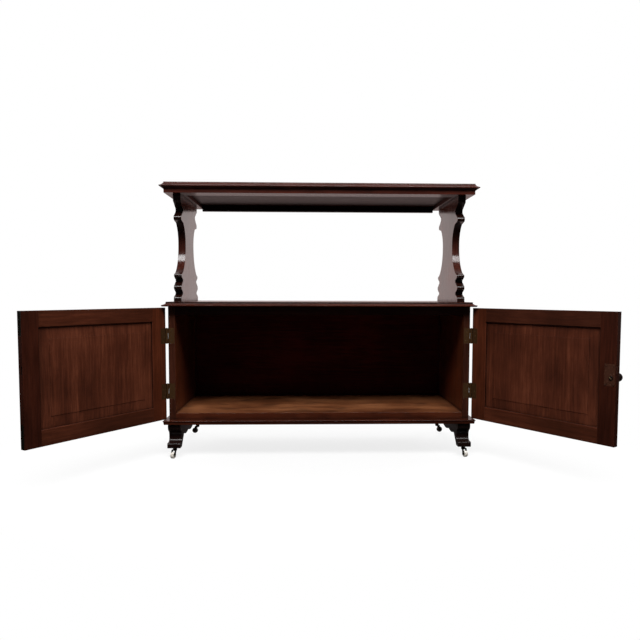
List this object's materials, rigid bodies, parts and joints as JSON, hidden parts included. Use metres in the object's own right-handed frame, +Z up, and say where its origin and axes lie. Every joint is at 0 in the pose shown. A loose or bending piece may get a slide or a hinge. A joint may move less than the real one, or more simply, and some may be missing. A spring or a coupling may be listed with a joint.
{
  "type": "chiffonier",
  "caption": "Low mahogany chiffonier: open moulded shelf on scrolled supports over a cupboard with framed, hinged doors, on shaped feet with swivelling casters.",
  "frame": {"origin": "on the floor, in the middle of the width, in the plane of the case front", "axes": "+Z up from the floor, +X to the right of someone facing the doors, +Y from the front to the back"},
  "size_m": [1.7066, 0.8384, 0.947],
  "materials": {
    "mahogany": "polished",
    "panel_mahogany": "polished",
    "brass": "tarnished",
    "knob_black": "ebonised",
    "roller_ceramic": "glazed"
  },
  "bodies": {
    "cabinet": {"shelf_board": "mahogany", "shelf_front_rail": "mahogany", "shelf_left_rail": "mahogany", "shelf_right_rail": "mahogany", "shelf_rear_rail": "mahogany", "left_support": "mahogany", "right_support": "mahogany", "cupboard_top": "mahogany", "left_side": "mahogany", "right_side": "mahogany", "cupboard_floor": "mahogany", "top_front_rail": "mahogany", "back_panel": "mahogany", "base_front_moulding": "mahogany", "base_left_moulding": "mahogany", "base_right_moulding": "mahogany", "base_rear_rail": "mahogany", "front_left_foot": "mahogany", "front_right_foot": "mahogany", "rear_left_foot": "mahogany", "rear_right_foot": "mahogany", "left_hinge_case_leaves": "brass", "right_hinge_case_leaves": "brass", "left_hinge_pins": "brass", "right_hinge_pins": "brass", "case_hinge_screws": "brass", "caster_plates": "brass"},
    "left_door": {"left_door_hinge_stile": "mahogany", "left_door_meeting_stile": "mahogany", "left_door_top_rail": "mahogany", "left_door_bottom_rail": "mahogany", "left_door_panel": "panel_mahogany", "left_door_bead": "mahogany", "left_door_hinge_leaves": "brass", "left_door_hinge_screws": "brass", "left_door_flush_plates": "brass"},
    "upper_flush_bolt": {"upper_flush_bolt": "brass"},
    "lower_flush_bolt": {"lower_flush_bolt": "brass"},
    "right_door": {"right_door_hinge_stile": "mahogany", "right_door_meeting_stile": "mahogany", "right_door_top_rail": "mahogany", "right_door_bottom_rail": "mahogany", "right_door_panel": "panel_mahogany", "right_door_bead": "mahogany", "right_door_hinge_leaves": "brass", "right_door_hinge_screws": "brass", "right_door_lock_case": "brass", "right_door_knob_rose": "brass"},
    "lock_bolt": {"lock_bolt": "brass"},
    "knob": {"knob": "knob_black"},
    "front_left_caster_horn": {"front_left_caster_horn": "brass"},
    "front_left_roller": {"front_left_roller": "roller_ceramic"},
    "front_right_caster_horn": {"front_right_caster_horn": "brass"},
    "front_right_roller": {"front_right_roller": "roller_ceramic"},
    "rear_left_caster_horn": {"rear_left_caster_horn": "brass"},
    "rear_left_roller": {"rear_left_roller": "roller_ceramic"},
    "rear_right_caster_horn": {"rear_right_caster_horn": "brass"},
    "rear_right_roller": {"rear_right_roller": "roller_ceramic"}
  },
  "joints": [
    {"name": "left_door_swing", "type": "hinge", "parent": "cabinet", "child": "left_door", "pos_m": [-0.5296, -0.0005, 0.3275], "axis": [0, 0, -1], "range_deg": [-124.4, 55]},
    {"name": "right_door_swing", "type": "hinge", "parent": "cabinet", "child": "right_door", "pos_m": [0.5296, -0.0005, 0.3275], "axis": [0, 0, 1], "range_deg": [-124.4, 55]},
    {"name": "upper_flush_bolt_slide", "type": "slide", "parent": "left_door", "child": "upper_flush_bolt", "axis": [0, 0, 1], "range_m": [0, 0.0117]},
    {"name": "lower_flush_bolt_slide", "type": "slide", "parent": "left_door", "child": "lower_flush_bolt", "axis": [0, 0, -1], "range_m": [0, 0.0096]},
    {"name": "knob_turn", "type": "hinge", "parent": "right_door", "child": "knob", "pos_m": [0.83503, -0.41383, 0.33195], "axis": [0.8251, 0.565, 0], "range_deg": [0, 90]},
    {"name": "lock_bolt_slide", "type": "slide", "parent": "right_door", "child": "lock_bolt", "axis": [0.565, -0.8251, 0], "range_m": [0, 0.008]},
    {"name": "front_left_caster_horn_swivel", "type": "hinge", "parent": "cabinet", "child": "front_left_caster_horn", "pos_m": [-0.505, -0.009, 0.03], "axis": [0, 0, 1], "continuous": true},
    {"name": "front_left_roller_roll", "type": "hinge", "parent": "front_left_caster_horn", "child": "front_left_roller", "pos_m": [-0.50965, -0.01897, 0.011], "axis": [0.9063, -0.4226, 0], "continuous": true},
    {"name": "front_right_caster_horn_swivel", "type": "hinge", "parent": "cabinet", "child": "front_right_caster_horn", "pos_m": [0.505, -0.009, 0.03], "axis": [0, 0, 1], "continuous": true},
    {"name": "front_right_roller_roll", "type": "hinge", "parent": "front_right_caster_horn", "child": "front_right_roller", "pos_m": [0.50965, -0.01897, 0.011], "axis": [0.9063, 0.4226, 0], "continuous": true},
    {"name": "rear_left_caster_horn_swivel", "type": "hinge", "parent": "cabinet", "child": "rear_left_caster_horn", "pos_m": [-0.4935, 0.381, 0.03], "axis": [0, 0, 1], "continuous": true},
    {"name": "rear_left_roller_roll", "type": "hinge", "parent": "rear_left_caster_horn", "child": "rear_left_roller", "pos_m": [-0.50433, 0.38291, 0.011], "axis": [-0.1736, -0.9848, 0], "continuous": true},
    {"name": "rear_right_caster_horn_swivel", "type": "hinge", "parent": "cabinet", "child": "rear_right_caster_horn", "pos_m": [0.4935, 0.381, 0.03], "axis": [0, 0, 1], "continuous": true},
    {"name": "rear_right_roller_roll", "type": "hinge", "parent": "rear_right_caster_horn", "child": "rear_right_roller", "pos_m": [0.50433, 0.38291, 0.011], "axis": [-0.1736, 0.9848, 0], "continuous": true}
  ],
  "couplings": [
    {"joint": "knob_turn", "follows": "lock_bolt_slide", "rad_per_m": 196.3}
  ]
}
